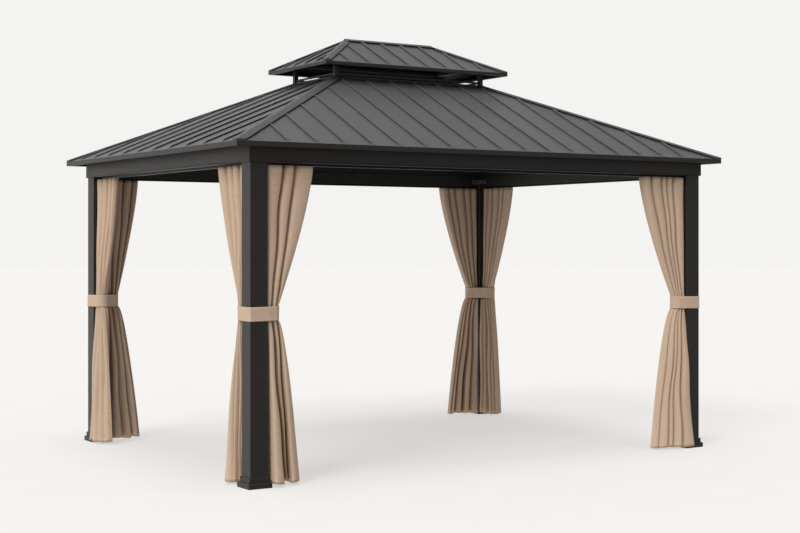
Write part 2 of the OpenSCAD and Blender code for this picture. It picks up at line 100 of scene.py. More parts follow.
def length_setting(name, text, metres):
    """A length that can be changed in the panel."""
    return FloatProperty(
        name=name, description=text, default=metres, min=0, unit="LENGTH", precision=4
    )


class GazeboSizes(bpy.types.PropertyGroup):
    """Sizes of what is added to the frame."""

    post: length_setting("Post", "Width of a square post", 0.120)
    gap: length_setting("Gap", "Gap between a post and the cloth beside it", 0.0025)
    cloth: length_setting("Cloth", "Thickness of the curtain cloth", 0.0016)
    hem: length_setting("Hem", "Depth of the sewn hems of a curtain", 0.022)
    top_depth: length_setting("Top depth", "Depth of a curtain at its track", 0.080)
    tie_depth: length_setting("Tie depth", "Depth of a curtain in its band", 0.088)
    rows: IntProperty(
        name="Rows", description="Rows of faces down a curtain", default=104, min=20
    )
    rivet: length_setting("Rivet", "Width of a rivet head on a cap", 0.011)
    rivet_pitch: length_setting("Rivet pitch", "Distance between rivets", 0.230)
    bolt: length_setting("Bolt", "Width across the flats of a bolt head", 0.013)
    glider_count: IntProperty(
        name="Gliders", description="Gliders of one curtain", default=8, min=2
    )


class GazeboColours(bpy.types.PropertyGroup):
    """Colours of the finishes."""

    metal: colour_setting("Frame", "Powder coat of posts and beams", "#211F1D")
    roof: colour_setting("Roof", "Coating of the roof sheets", "#464749")
    cap: colour_setting("Caps", "Coating of the hip and ridge caps", "#38393C")
    # Painted shade: the rafters' powder coat is darkened to stand for the shade under the roof
    shaded_rafter: colour_setting("Rafters", "Powder coat of rafters", "#0F0F10")
    track: colour_setting("Tracks", "Anodised aluminium of tracks", "#2B2C2E")
    cloth: colour_setting("Curtains", "Woven polyester of the curtains", "#CBB29B")
    zinc: colour_setting("Fixings", "Zinc plate of bolts and brackets", "#8F9194")
    nylon: colour_setting("Gliders", "Moulded nylon of the gliders", "#D9D6CE")
    floor: colour_setting("Floor", "Floor of the studio", "#F4F3F1")


# --------------------------------------------------------------- materials


def fill(tree, node, inputs):
    """Sets the inputs of a node, or links them where the value is a socket."""
    for name, value in inputs.items():
        socket = node.inputs[name]
        if isinstance(value, bpy.types.NodeSocket):
            tree.links.new(value, socket)
        else:
            socket.default_value = value


def put(tree, kind, inputs=None, **settings):
    """Adds a node with its settings and its inputs."""
    made = tree.nodes.new(kind)
    for name, value in settings.items():
        setattr(made, name, value)
    fill(tree, made, inputs or {})
    return made


def noise(tree, place, scale, detail=2.0, roughness=0.5, distortion=0.0):
    """A soft random value over a place."""
    inputs = {
        "Vector": place,
        "Scale": scale,
        "Detail": detail,
        "Roughness": roughness,
        "Distortion": distortion,
    }
    return put(tree, "ShaderNodeTexNoise", inputs).outputs["Fac"]


def maths(tree, operation, *values):
    """The result of one operation on up to three values."""
    node = put(
        tree, "ShaderNodeMath", dict(enumerate(values)), operation=operation
    )
    return node.outputs["Value"]


def remap(tree, value, low, high, start=0.0, end=1.0, **settings):
    """A value from start to end, mapped to low to high."""
    inputs = {
        "Value": value,
        "From Min": start,
        "From Max": end,
        "To Min": low,
        "To Max": high,
    }
    return put(tree, "ShaderNodeMapRange", inputs, **settings).outputs["Result"]


def blend(tree, share, one, other):
    """A colour between two, by a share."""
    inputs = {"Fac": share, "Color1": one, "Color2": other}
    return put(tree, "ShaderNodeMixRGB", inputs).outputs["Color"]


def bump(tree, height, strength, distance, normal=None, **settings):
    """A normal raised by a height, on top of another normal."""
    inputs = {"Strength": strength, "Distance": distance, "Height": height}
    if normal is not None:
        inputs["Normal"] = normal
    return put(tree, "ShaderNodeBump", inputs, **settings).outputs["Normal"]


def start_material(name):
    """An empty material, its shader, and the place on the object."""
    material = bpy.data.materials.new(name)
    material.use_nodes = True
    tree = material.node_tree
    tree.nodes.clear()
    shader = put(tree, "ShaderNodeBsdfPrincipled")
    put(tree, "ShaderNodeOutputMaterial", {"Surface": shader.outputs["BSDF"]})
    place = put(tree, "ShaderNodeTexCoord").outputs["Object"]
    return material, tree, shader, place


def scaled(colour, factor):
    """A lighter or darker tone of a linear colour."""
    return tuple(min(1, c * factor) for c in colour[:3]) + (1,)


def two_tones(tree, value, colour, dark, light, low=0.35, high=0.65):
    """A ramp from a darker to a lighter tone of a colour."""
    ramp = put(tree, "ShaderNodeValToRGB", {"Fac": value})
    for stop, position, factor in zip(
        ramp.color_ramp.elements, (low, high), (dark, light)
    ):
        stop.position = position
        stop.color = scaled(colour, factor)
    return ramp.outputs["Color"]


def edge_mask(tree, radius):
    """The rounded normal of the edges, and a mask that is 1 on them."""
    rounded = put(tree, "ShaderNodeBevel", {"Radius": radius}, samples=3)
    flat = put(tree, "ShaderNodeNewGeometry")
    turn = put(
        tree,
        "ShaderNodeVectorMath",
        {0: rounded.outputs["Normal"], 1: flat.outputs["Normal"]},
        operation="DOT_PRODUCT",
    )
    mask = remap(tree, turn.outputs["Value"], 0, 1, 0.99, 0.80)
    return rounded.outputs["Normal"], mask


def powder_coat(name, colour, roughness=0.46, wear=1.7, edge=0.0025):
    """Aluminium, powder coated: a satin skin with a fine orange peel that thins on edges."""
    material, tree, shader, place = start_material(name)
    # The peel of a powder coat is about 1 mm wide; it is drawn at 2.5 mm so that it shows
    peel = noise(tree, place, 400.0)
    # Film thickness changes slowly along a profile, over about 0.4 m
    film = noise(tree, place, 2.5, 3.0, 0.6)
    tone = two_tones(tree, film, colour, 0.88, 1.12)
    normal, edges = edge_mask(tree, edge)
    thin = maths(tree, "MULTIPLY", edges, 0.55)
    inputs = {
        "Base Color": blend(tree, thin, tone, scaled(colour, wear)),
        "Roughness": remap(tree, peel, roughness - 0.05, roughness + 0.07),
        "Normal": bump(tree, peel, 0.12, 0.0006, normal),
        "Specular IOR Level": 0.45,
    }
    fill(tree, shader, inputs)
    return material


def coated_steel(name, colour, axis, pitch, shift, shadow_side=0, roughness=0.47):
    """Steel sheet, coil coated: each pan between two seams has its own faint tone, a low
    waviness and fine grain, with a painted shadow along one side of each seam's foot."""
    material, tree, shader, place = start_material(name)
    parts = put(tree, "ShaderNodeSeparateXYZ", {"Vector": place})
    # Number of the pan along the eave, from the real distance between seams
    along = maths(tree, "MULTIPLY_ADD", parts.outputs[axis], 1 / pitch, shift)
    chance = put(
        tree,
        "ShaderNodeTexWhiteNoise",
        {"W": maths(tree, "FLOOR", along)},
        noise_dimensions="1D",
    )
    # Coil stock lies in waves about 0.3 m long, a millimetre or two deep
    wave = noise(tree, place, 3.2, 2.0, 0.45)
    # The coating's grain is under 1 mm; it is drawn at 2 mm so that it shows
    grain = noise(tree, place, 480.0, 2.0, 0.55)
    uneven = maths(tree, "MULTIPLY_ADD", chance.outputs["Value"], 0.45, wave)
    tone = two_tones(tree, uneven, colour, 0.88, 1.12, 0.35, 1.0)
    normal, edges = edge_mask(tree, 0.002)
    thin = maths(tree, "MULTIPLY", edges, 0.5)
    base = blend(tree, thin, tone, scaled(colour, 2.2))
    if shadow_side:
        # A painted shadow starts at the foot of a seam, 11 mm from its middle, and shows 6 mm
        # wide
        share = maths(tree, "FRACT", along)
        middle = 0.0140 / pitch
        middle = middle if shadow_side > 0 else 1 - middle
        gap = maths(tree, "COMPARE", share, middle, 0.0030 / pitch)
        base = blend(tree, gap, base, scaled(colour, 0.22))
    # Faces turned down are painted darker: painted shade on the underside of the roof
    facing = put(tree, "ShaderNodeTexCoord").outputs["Normal"]
    tilt = put(tree, "ShaderNodeSeparateXYZ", {"Vector": facing})
    below = maths(tree, "LESS_THAN", tilt.outputs["Z"], -0.3)
    inputs = {
        "Base Color": blend(tree, below, base, scaled(colour, 0.30)),
        "Roughness": remap(tree, wave, roughness - 0.05, roughness + 0.08),
        "Normal": bump(
            tree, grain, 0.10, 0.0004, bump(tree, wave, 0.35, 0.004, normal)
        ),
        "Specular IOR Level": 0.36,
    }
    fill(tree, shader, inputs)
    return material


def bare_metal(name, colour, roughness, stretch, scale):
    """A bare or plated metal: fine marks, drawn out where it is brushed or extruded."""
    material, tree, shader, place = start_material(name)
    turned = put(tree, "ShaderNodeMapping", {"Vector": place, "Scale": stretch})
    marks = noise(tree, turned.outputs["Vector"], scale, 4.0, 0.6)
    inputs = {
        "Base Color": two_tones(tree, marks, colour, 0.80, 1.12),
        "Roughness": remap(tree, marks, roughness - 0.08, roughness + 0.10),
        "Normal": bump(tree, marks, 0.15, 0.0003),
        "Metallic": 1.0,
    }
    fill(tree, shader, inputs)
    return material


def moulded_nylon(name, colour):
    """Nylon, moulded: slightly milky, with the faint cloud of a small moulding."""
    material, tree, shader, place = start_material(name)
    cloud = noise(tree, place, 220.0)
    inputs = {
        "Base Color": two_tones(tree, cloud, colour, 0.90, 1.03),
        "Normal": bump(tree, cloud, 0.08, 0.0003),
        "Roughness": 0.42,
        "Subsurface Weight": 0.1,
        "Subsurface Radius": (0.002, 0.002, 0.0015),
    }
    fill(tree, shader, inputs)
    return material


def woven_polyester(name, colour, stitch, thread=0.0022):
    """Polyester, plain woven and dyed: matt, with a faint bloom from its fibre ends.
    The cloth's own map is in metres; its hem attribute is the distance to a sewn edge."""
    material, tree, shader, _ = start_material(name)
    flat = put(tree, "ShaderNodeUVMap", uv_map="cloth").outputs["UV"]
    # Threads are about 0.5 mm apart; they are drawn 2.2 mm apart so that they show.
    # A band wave of scale s repeats every 2*pi/(20*s) metres.
    rate = math.pi / (10 * thread)
    warp, weft = (
        put(
            tree,
            "ShaderNodeTexWave",
            {"Vector": flat, "Scale": rate, "Distortion": 0.4, "Detail Scale": 2.0},
            bands_direction=way,
        ).outputs["Fac"]
        for way in "XY"
    )
    weave = maths(tree, "ADD", warp, weft)
    # Slubs: thicker stretches of weft, about 60 mm long and 3 mm high
    drawn = put(tree, "ShaderNodeMapping", {"Vector": flat, "Scale": (1.0, 20.0, 1.0)})
    slub = noise(tree, drawn.outputs["Vector"], 16.0, 3.0)
    # Creases left by folding and handling, about 70 mm apart
    crease = noise(tree, flat, 14.0, distortion=0.6)
    tone = two_tones(tree, slub, colour, 0.93, 1.06)
    # Gaps between threads get a little painted shade
    thread_gap_shade = remap(tree, weave, 0.16, 0, end=1.2)
    woven = blend(tree, thread_gap_shade, tone, scaled(colour, 0.5))
    # A sewn line at the hem's depth: thread 2.4 mm wide in stitches 9 mm long, coarser
    # than real
    edge = put(tree, "ShaderNodeAttribute", attribute_name="hem").outputs["Fac"]
    away = maths(tree, "ABSOLUTE", maths(tree, "SUBTRACT", edge, stitch))
    line = remap(tree, away, 1, 0, 0.0012, 0.0020)
    dashes = put(tree, "ShaderNodeTexChecker", {"Vector": flat, "Scale": 1 / 0.009})
    dash = remap(tree, dashes.outputs["Fac"], 0.35, 1)
    sewn = maths(tree, "MULTIPLY", line, dash)
    strength = maths(tree, "MULTIPLY", sewn, 0.65)
    soft = bump(tree, crease, 0.35, 0.006)
    threads = bump(tree, weave, 0.30, 0.0005, soft)
    inputs = {
        "Base Color": blend(tree, strength, woven, scaled(colour, 1.45)),
        "Normal": bump(tree, sewn, 0.6, 0.0012, threads, invert=True),
        "Roughness": 0.88,
        "Specular IOR Level": 0.22,
        "Sheen Weight": 0.10,
        "Sheen Roughness": 0.5,
    }
    fill(tree, shader, inputs)
    return material


def finish(name):
    """A finish by its name, made when it is first wanted."""
    if name in bpy.data.materials:
        return bpy.data.materials[name]
    colours = bpy.context.scene.gazebo_colours
    sizes = bpy.context.scene.gazebo_sizes
    long_pitch, side_pitch, upper_pitch = 0.201, 0.270, 0.165
    recipes = {
        "powder_coated_aluminium": lambda n: powder_coat(n, colours.metal),
        "powder_coated_casting": lambda n: powder_coat(
            n, scaled(colours.metal, 0.92), 0.5, 1.6, 0.003
        ),
        # The rafters' powder coat is darkened with painted shade for the space under the roof
        "powder_coated_rafter": lambda n: powder_coat(n, colours.shaded_rafter, 0.55, 1.4),
        "coated_steel_long": lambda n: coated_steel(
            n, colours.roof, "X", long_pitch, 0.0, 1
        ),
        "coated_steel_side": lambda n: coated_steel(
            n, colours.roof, "Y", side_pitch, 0.5, -1
        ),
        "coated_steel_upper_long": lambda n: coated_steel(
            n, colours.roof, "X", upper_pitch, 0.5, 1
        ),
        "coated_steel_upper_side": lambda n: coated_steel(
            n, colours.roof, "Y", upper_pitch, 0.5, -1
        ),
        "coated_steel_cap": lambda n: coated_steel(n, colours.cap, "Z", 0.35, 0.0),
        "anodised_aluminium": lambda n: bare_metal(
            n, colours.track, 0.38, (1, 1, 14), 60.0
        ),
        "zinc_plated_steel": lambda n: bare_metal(
            n, colours.zinc, 0.36, (1, 1, 1), 260.0
        ),
        "moulded_nylon": lambda n: moulded_nylon(n, colours.nylon),
        "woven_polyester": lambda n: woven_polyester(n, colours.cloth, sizes.hem),
        "woven_polyester_band": lambda n: woven_polyester(n, colours.cloth, 0.007),
    }
    return recipes[name](name)


# Which finish each node of the frame has, by the start of its name
NODE_FINISHES = (
    ("post_", "powder_coated_aluminium"),
    ("base_covers", "powder_coated_casting"),
    ("corner_casting_", "powder_coated_casting"),
    ("beam_", "powder_coated_aluminium"),
    ("curtain_tracks", "anodised_aluminium"),
    ("hip_rafters", "powder_coated_rafter"),
    ("common_rafters", "powder_coated_rafter"),
    ("roof_front", "coated_steel_long"),
    ("roof_back", "coated_steel_long"),
    ("roof_", "coated_steel_side"),
    ("upper_roof_front", "coated_steel_upper_long"),
    ("upper_roof_back", "coated_steel_upper_long"),
    ("upper_roof_", "coated_steel_upper_side"),
    ("hip_caps", "coated_steel_cap"),
    ("upper_hip_caps", "coated_steel_cap"),
    ("ridge_cap", "coated_steel_cap"),
    ("eave_trim", "powder_coated_aluminium"),
    ("upper_eave_trim", "powder_coated_aluminium"),
    ("vent_", "powder_coated_aluminium"),
)


# ----------------------------------------------------------------- helpers


def clear_selection():
    """Leaves nothing selected, in object mode."""
    if bpy.context.mode != "OBJECT":
        bpy.ops.object.mode_set(mode="OBJECT")
    bpy.ops.object.select_all(action="DESELECT")


def only(piece):
    """Makes a piece the only one that operators act on."""
    clear_selection()
    piece.select_set(True)
    bpy.context.view_layer.objects.active = piece
    return piece


def apply_modifiers(piece):
    """Applies all of a piece's modifiers in order."""
    only(piece)
    for modifier in list(piece.modifiers):
        bpy.ops.object.modifier_apply(modifier=modifier.name)


def settle(piece, name, finish_name):
    """Names a finished piece, puts its place in its mesh, and fixes it to the frame."""
    only(piece)
    bpy.ops.object.transform_apply(location=True, rotation=True, scale=True)
    piece.name = piece.data.name = name
    piece.data.materials.clear()
    piece.data.materials.append(finish(finish_name))
    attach(piece, "root")
    return piece


def solid(kind, **shape):
    """A primitive of a kind, with its place and turn put in its mesh."""
    clear_selection()
    getattr(bpy.ops.mesh, f"primitive_{kind}_add")(**shape)
    piece = bpy.context.active_object
    bpy.ops.object.transform_apply(location=True, rotation=True, scale=True)
    return piece


def pick_faces(piece, test):
    """Selects the faces whose middle and normal pass a test, in edit mode."""
    only(piece)
    bpy.ops.object.mode_set(mode="EDIT")
    bpy.ops.mesh.select_mode(type="FACE")
    mesh = bmesh.from_edit_mesh(piece.data)
    for face in mesh.faces:
        face.select_set(bool(test(face.calc_center_median(), face.normal)))
    mesh.select_flush_mode()
    bmesh.update_edit_mesh(piece.data)


def copies(model, places):
    """Copies a model to each place, each copy with its own mesh, and joins them."""
    made = []
    for place in places:
        twin = model.copy()
        twin.data = model.data.copy()
        bpy.context.scene.collection.objects.link(twin)
        twin.matrix_world = place @ model.matrix_world
        made.append(twin)
    bpy.data.objects.remove(model)
    clear_selection()
    for twin in made:
        twin.select_set(True)
    bpy.context.view_layer.objects.active = made[0]
    bpy.ops.object.join()
    joined = bpy.context.view_layer.objects.active
    only(joined)
    bpy.ops.object.transform_apply(location=True, rotation=True, scale=True)
    return joined


def joined(pieces):
    """Joins pieces into the first."""
    clear_selection()
    for piece in pieces:
        piece.select_set(True)
    bpy.context.view_layer.objects.active = pieces[0]
    bpy.ops.object.join()
    return pieces[0]


def standing(point, normal, along=None):
    """The place of a fixing whose foot is at a point and whose head points along a normal."""
    z = Vector(normal).normalized()
    x = Vector(along) if along is not None else z.orthogonal()
    y = z.cross(x).normalized()
    x = y.cross(z)
    turn = Matrix((x, y, z)).transposed().to_4x4()
    return Matrix.Translation(Vector(point)) @ turn


def rivet_head(width, height=0.0030):
    """A domed rivet head that stands on the origin."""
    head = solid(
        "cylinder",
        vertices=12,
        radius=width / 2,
        depth=height / 3,
        location=(0, 0, height / 6),
    )
    pick_faces(head, lambda middle, normal: normal.z > 0.9)
    bpy.ops.mesh.extrude_region_move(TRANSFORM_OT_translate={"value": (0, 0, height / 3)})
    bpy.ops.transform.resize(value=(0.78, 0.78, 1))
    bpy.ops.mesh.extrude_region_move(TRANSFORM_OT_translate={"value": (0, 0, height / 3)})
    bpy.ops.transform.resize(value=(0.45, 0.45, 1))
    bpy.ops.object.mode_set(mode="OBJECT")
    return head


def bolt_head(across, height=0.006):
    """A hexagon bolt head on its washer, standing on the origin."""
    radius = across / math.sqrt(3)
    thick = 0.0016
    washer = solid(
        "cylinder",
        vertices=18,
        radius=across * 0.95,
        depth=thick,
        location=(0, 0, thick / 2),
    )
    pick_faces(washer, lambda middle, normal: normal.z > 0.9)
    bpy.ops.mesh.inset(thickness=across * 0.08)
    bpy.ops.transform.translate(value=(0, 0, 0.0004))
    head = solid(
        "cylinder",
        vertices=6,
        radius=radius,
        depth=height,
        location=(0, 0, thick + height / 2),
    )
    pick_faces(head, lambda middle, normal: normal.z > 0.9)
    bpy.ops.mesh.inset(thickness=across * 0.10)
    bpy.ops.transform.translate(value=(0, 0, 0.0006))
    return joined([washer, head])


def angle_bracket(width, leg_up, leg_out, thick):
    """A bent bracket, centred in X: one leg along +Y, one along +Z."""
    plate = solid(
        "cube",
        size=1,
        location=(0, leg_out / 2, thick / 2),
        scale=(width, leg_out, thick),
    )
    only(plate)
    bpy.ops.object.mode_set(mode="EDIT")
    bpy.ops.mesh.select_all(action="SELECT")
    bpy.ops.mesh.bisect(plane_co=(0, thick, 0), plane_no=(0, 1, 0))
    bpy.ops.object.mode_set(mode="OBJECT")
    pick_faces(plate, lambda middle, normal: normal.z > 0.9 and middle.y < thick)
    bpy.ops.mesh.extrude_region_move(
        TRANSFORM_OT_translate={"value": (0, 0, leg_up - thick)}
    )
    bpy.ops.object.mode_set(mode="OBJECT")
    rounding = plate.modifiers.new("rounding", "BEVEL")
    rounding.width = thick * 0.35
    rounding.segments = 2
    rounding.limit_method = "ANGLE"
    rounding.angle_limit = math.radians(40)
    apply_modifiers(plate)
    return plate


# ------------------------------------------------------------------ cloth


def run_along(points):
    """How far along a line each of its points lies."""
    steps = np.linalg.norm(np.diff(points, axis=0), axis=1)
    return np.concatenate([[0], np.cumsum(steps)])


def along_line(points, where):
    """Smooth positions on a line through points, at shares from 0 to 1 of its count."""
    points = np.array(points, float)
    last = len(points) - 1
    at = np.clip(np.asarray(where, float), 0, 1) * last
    i = np.minimum(at.astype(int), last - 1)
    f = (at - i)[:, None]
    before, here = points[np.maximum(i - 1, 0)], points[i]
    there, after = points[i + 1], points[np.minimum(i + 2, last)]
    return 0.5 * (
        2 * here
        + (there - before) * f
        + (2 * before - 5 * here + 4 * there - after) * f**2
        + (3 * here - 3 * there + after - before) * f**3
    )


# How each curtain hangs: whether its folds stand out to the inside, how far into its depth the
# edge at the post starts at the top and at the hem, the hem's width, and its folds from the
# post to the free edge. Each fold is its share of the width at the top, in the band and at the
# hem, how far its crest stands back at the top and at the hem, and how deep the valley after
# it is at the top and at the hem, as shares of the depth.
FULL_FOLDS = (
    (0.22, 0.20, 0.26, 0.04, 0.04, 0.95, 0.70),
    (0.16, 0.18, 0.18, 0.02, 0.00, 0.90, 0.85),
    (0.24, 0.22, 0.26, 0.00, 0.08, 0.98, 0.60),
    (0.16, 0.18, 0.14, 0.08, 0.00, 0.85, 0.75),
    (0.22, 0.22, 0.16, 0.00, 0.04, 0.90, 0.40),
)
SLIM_FOLDS = (
    (0.30, 0.26, 0.30, 0.02, 0.00, 0.95, 0.60),
    (0.22, 0.24, 0.22, 0.06, 0.04, 0.90, 0.80),
    (0.26, 0.26, 0.30, 0.00, 0.00, 0.95, 0.55),
    (0.22, 0.24, 0.18, 0.04, 0.06, 0.50, 0.30),
)
HANGS = {
    ("front_left", "long"): (
        False, 0.55, 0.55, 0.244,
        (
            (0.40, 0.28, 0.52, 0.00, 0.00, 0.98, 0.80),
            (0.20, 0.30, 0.07, 0.03, 0.40, 0.95, 0.98),
            (0.40, 0.42, 0.41, 0.00, 0.00, 0.30, 0.30),
        ),
    ),
    ("front_left", "short"): (
        False, 0.50, 0.60, 0.270,
        (
            (0.26, 0.26, 0.20, 0.04, 0.34, 0.98, 0.80),
            (0.20, 0.20, 0.07, 0.00, 0.30, 0.75, 0.40),
            (0.22, 0.24, 0.07, 0.04, 0.16, 0.90, 0.26),
            (0.32, 0.30, 0.66, 0.00, 0.00, 0.25, 0.20),
        ),
    ),
    ("front_right", "long"): (
        False, 0.30, 0.03, 0.300,
        (
            (0.30, 0.28, 0.25, 0.02, 0.00, 0.70, 0.55),
            (0.14, 0.14, 0.22, 0.05, 0.00, 0.90, 0.60),
            (0.12, 0.13, 0.14, 0.06, 0.12, 0.95, 0.30),
            (0.22, 0.23, 0.22, 0.00, 0.02, 0.85, 0.20),
            (0.22, 0.22, 0.17, 0.03, 0.00, 0.95, 0.35),
        ),
    ),
    ("back_left", "short"): (
        False, 0.30, 0.08, 0.220,
        (
            (0.34, 0.30, 0.34, 0.02, 0.00, 0.40, 0.30),
            (0.26, 0.26, 0.26, 0.00, 0.02, 0.90, 0.45),
            (0.20, 0.22, 0.20, 0.04, 0.00, 0.85, 0.30),
            (0.20, 0.22, 0.20, 0.00, 0.00, 0.35, 0.45),
        ),
    ),
    ("front_right", "short"): (True, 0.30, 0.05, 0.150, SLIM_FOLDS),
    ("back_left", "long"): (True, 0.30, 0.95, 0.258, SLIM_FOLDS),
    ("back_right", "long"): (True, 0.30, 0.02, 0.308, FULL_FOLDS),
    ("back_right", "short"): (True, 0.30, 0.02, 0.225, FULL_FOLDS),
}
# For each height: the places of its width, crest and valley in a fold, the share of the crest
# that is left there, how sharp its valleys are, and how much its crests bulge
LEVELS = {
    "top": ((0, 3, 5), 1, 8.0, 0.40),
    "tie": ((1, 3, 5), 0.4, 2.4, 0.20),
    "hem": ((2, 4, 6), 1, 4.5, 0.32),
}
# Steps of one fold, from valley to valley
FOLD_STEPS = 26
# How far the middle of a track lies in from the outer faces of its post
TRACK_IN = 0.054
# Gap that keeps a hem clear of the cover on the foot
COVER_REACH = 0.0225


def fold_profile(folds, widths, crests, valleys, first, sharp, bulge):
    """Shares across and into a curtain of a line that runs over its folds."""
    edges = np.concatenate([[0], np.cumsum(widths)])
    edges = edges / edges[-1]
    depths = np.concatenate([[first], valleys])
    steps = np.linspace(0, 1, FOLD_STEPS + 1)
    # More points on the walls of the valleys than on the crests
    steps = steps - 0.07 * np.sin(2 * np.pi * steps)
    across, into = [], []
    for i in range(len(folds)):
        t = steps if i == len(folds) - 1 else steps[:-1]
        dip = ((1 + np.cos(2 * np.pi * t)) / 2) ** sharp
        deep = np.where(t < 0.5, depths[i], depths[i + 1])
        crest = crests[i] + np.minimum(bulge, deep) * (2 * t - 1) ** 2
        deep = np.maximum(deep, crest)
        # The walls lean over the valleys, so that the crests are round
        lean = t - 0.075 * np.sin(2 * np.pi * t)
        across.append(edges[i] + (edges[i + 1] - edges[i]) * lean)
        into.append(crest + (deep - crest) * dip)
    return np.concatenate(across), np.concatenate(into)


def curtain_lines(corner, kind, sizes):
    """Front and back lines in plan of a curtain at its top, in its band and at its hem,
    from the outer corner of its post: X along the beam, Y inwards."""
    low, high = node_box(f"curtain_{kind}_{corner}")
    band_low, band_high = node_box(f"tie_band_{corner}")
    sx, sy = CORNERS[corner]
    reach = high - low
    along = 0 if kind == "long" else 1
    post_low, post_high = node_box(f"post_{corner}")
    middle = (post_low + post_high) / 2
    outer = middle + Vector((sx, sy, 0)) * (sizes.post / 2)
    sign = (sx, sy)[along]
    far = abs((low if sign > 0 else high)[along] - outer[along]) - sizes.gap
    near = sizes.post + sizes.gap
    tie_far = (band_high - band_low)[along] - 0.0086 - sizes.gap
    across = 1 - along
    sign_in = (sx, sy)[across]
    proud = -abs((high if sign_in > 0 else low)[across] - outer[across]) + 0.003
    inside = proud + reach[across] - 0.006
    lap = max(0.0, sizes.post - abs((high if sign > 0 else low)[along] - outer[along]))
    half_top, half_tie = sizes.top_depth / 2 - 0.002, sizes.tie_depth / 2 - 0.002
    top0, top1 = TRACK_IN - half_top, TRACK_IN + half_top
    tie0, tie1 = TRACK_IN - half_tie, TRACK_IN + half_tie
    cut = 0.26 * sizes.tie_depth
    # The hem keeps clear of the cover on the foot, unless it laps over in front of it
    start = sizes.post + (0.003 - lap if lap > 0.005 else COVER_REACH)
    width = HANGS[(corner, kind)][3]
    hem_far = sizes.post + width
    front_hem = [
        (start, proud + 0.004),
        (max(sizes.post + 0.20 * width, start + 0.02), proud),
        (sizes.post + 0.46 * width, proud),
        (sizes.post + 0.76 * width, 0.30 * proud),
        (hem_far, 0.030),
    ]
    back_hem = [
        (sizes.post + 0.0425, inside + 0.001),
        (sizes.post + 0.40 * width, inside),
        (sizes.post + 0.72 * width, inside),
        (sizes.post + 0.92 * width, inside - 0.030),
        (hem_far, inside - 0.054),
    ]
    return {
        "outer": outer,
        "top": (
            [(near, top0), (near + (far - near) * 0.5, top0), (far, top0 + 0.002)],
            [(near, top1), (near + (far - near) * 0.5, top1), (far, top1 - 0.002)],
        ),
        "tie": (
            [(near, tie0), (tie_far - 1.2 * cut, tie0), (tie_far, tie0 + cut)],
            [(near, tie1), (tie_far - 1.2 * cut, tie1), (tie_far, tie1 - cut)],
        ),
        "hem": (front_hem, back_hem),
    }


def sheet_from_rows(name, rows, flat_u, hem_of, thickness, thin_share):
    """A sheet of cloth through rows of points, with its flat map in metres, its distance
    to a sewn edge, and a wall that is thicker at the hems."""
    count, width = len(rows), len(rows[0])
    points = [tuple(p) for row in rows for p in row]
    faces = [
        (i * width + j, i * width + j + 1, (i + 1) * width + j + 1, (i + 1) * width + j)
        for i in range(count - 1)
        for j in range(width - 1)
    ]
    mesh = bpy.data.meshes.new(name)
    mesh.from_pydata(points, [], faces)
    grid = np.array(rows)
    fall = np.concatenate(
        [[0], np.cumsum(np.linalg.norm(np.diff(grid, axis=0), axis=2).mean(1))]
    )
    flat_v = fall[-1] - fall
    layer = mesh.uv_layers.new(name="cloth")
    for loop in mesh.loops:
        i, j = divmod(loop.vertex_index, width)
        layer.data[loop.index].uv = (flat_u[j], flat_v[i])
    hems = np.array(
        [hem_of(flat_u[j], flat_v[i], fall[-1]) for i in range(count) for j in range(width)]
    )
    mesh.attributes.new("hem", "FLOAT", "POINT").data.foreach_set("value", hems)
    piece = bpy.data.objects.new(name, mesh)
    bpy.context.scene.collection.objects.link(piece)
    sewn = piece.vertex_groups.new(name="sewn")
    for index in np.nonzero(hems < hem_of(0, 0, 0) + 0.024)[0]:
        sewn.add([int(index)], 1.0, "REPLACE")
    wall = piece.modifiers.new("wall", "SOLIDIFY")
    wall.thickness = thickness
    wall.offset = 0
    wall.vertex_group = "sewn"
    wall.thickness_vertex_group = thin_share
    apply_modifiers(piece)
    bpy.ops.object.shade_smooth()
    return piece, float(fall[-1])


